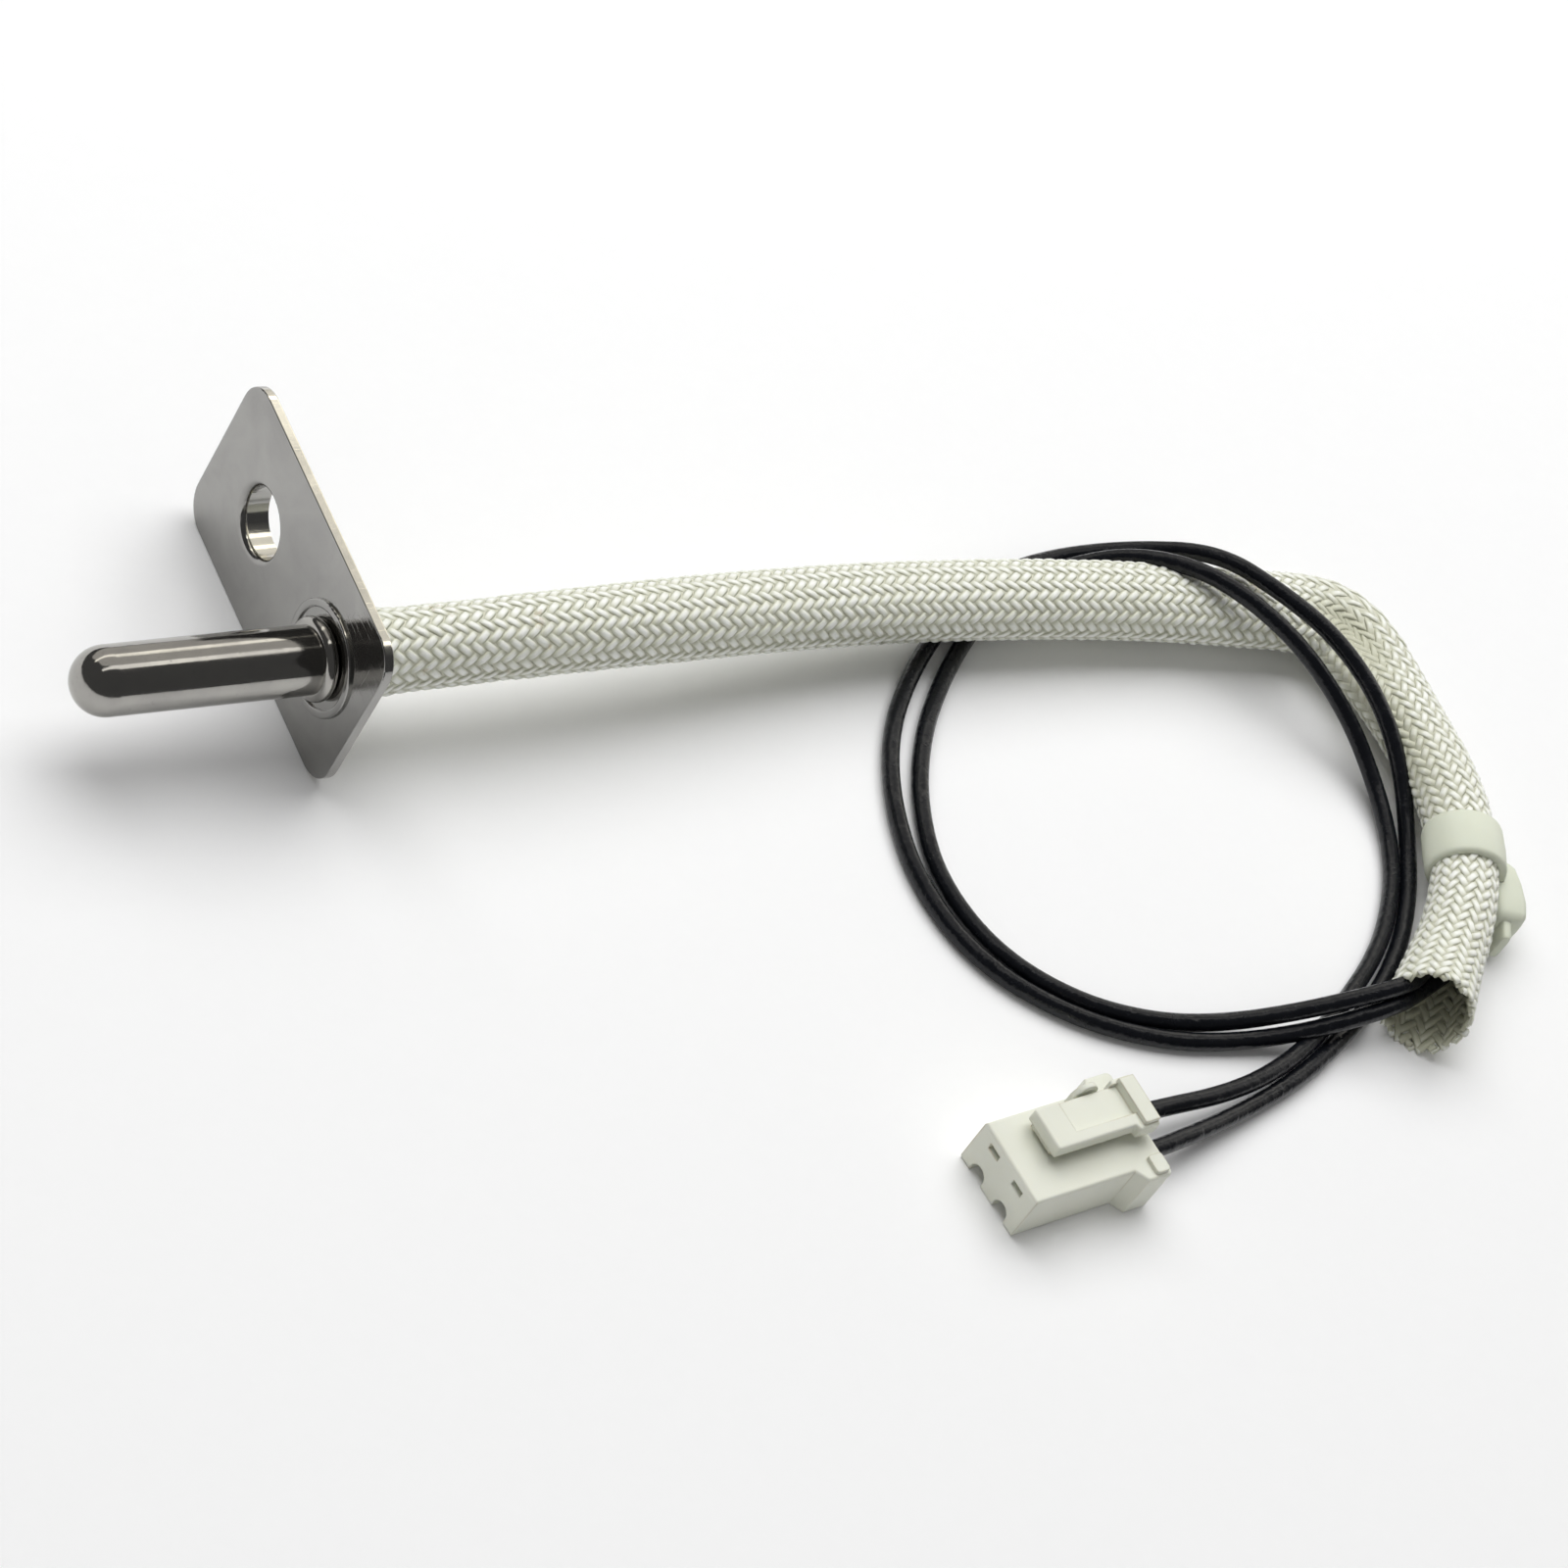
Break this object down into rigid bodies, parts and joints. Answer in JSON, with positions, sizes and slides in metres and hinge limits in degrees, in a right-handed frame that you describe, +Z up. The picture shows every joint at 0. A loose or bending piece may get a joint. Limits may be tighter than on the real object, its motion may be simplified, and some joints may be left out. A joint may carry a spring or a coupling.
{
  "type": "flame sensor probe",
  "caption": "Slim closed-end steel temperature probe on a drilled fixing plate, with a braided sleeve lead and latching wire-to-board plug for a gas or heating appliance.",
  "frame": {"origin": "on the probe's axis, at the mounting plate's front face", "axes": "-X out of the probe's tip, +X along the lead, +Y from the probe to the screw hole, +Z up from the surface that the plate's long edge stands on"},
  "size_m": [0.094, 0.0556, 0.012],
  "materials": {
    "polished_steel": "mirror polished, faint streaks",
    "bead_glass": "gloss",
    "lead_wire": "satin",
    "fluoropolymer_tube": "satin",
    "tip_epoxy": "matt",
    "polyimide_liner": "satin",
    "tinned_metal": "tinned, satin",
    "splice_shrink": "satin",
    "copper_strand": "bright",
    "seal_silicone": "matt",
    "glass_braid": "coated glass-fibre braid, low sheen",
    "black_insulation": "satin gloss",
    "tie_nylon": "translucent, smooth",
    "ivory_nylon": "moulded, low gloss"
  },
  "bodies": {
    "sensor": {"probe_sheath": "polished_steel", "mounting_plate": "polished_steel", "thermistor_bead": "bead_glass", "bead_leads": "lead_wire", "lead_insulators": "fluoropolymer_tube", "tip_compound": "tip_epoxy", "insulation_liner": "polyimide_liner", "splice_crimps": "tinned_metal", "splice_covers": "splice_shrink", "splice_conductors": "copper_strand", "rear_seal": "seal_silicone", "braided_sleeve": "glass_braid", "wire_a": "black_insulation", "wire_b": "black_insulation", "cable_tie": "tie_nylon", "plug_housing": "ivory_nylon", "terminal_a": "tinned_metal", "terminal_b": "tinned_metal", "plug_conductors": "copper_strand"},
    "latch": {"plug_latch": "ivory_nylon"}
  },
  "joints": [
    {"name": "latch_press", "type": "hinge", "parent": "sensor", "child": "latch", "pos_m": [0.03638, -0.03567, -0.0017], "axis": [-0.1132, 0.9936, 0], "range_deg": [0, 7], "stiffness_Nm_per_rad": 0.03}
  ]
}
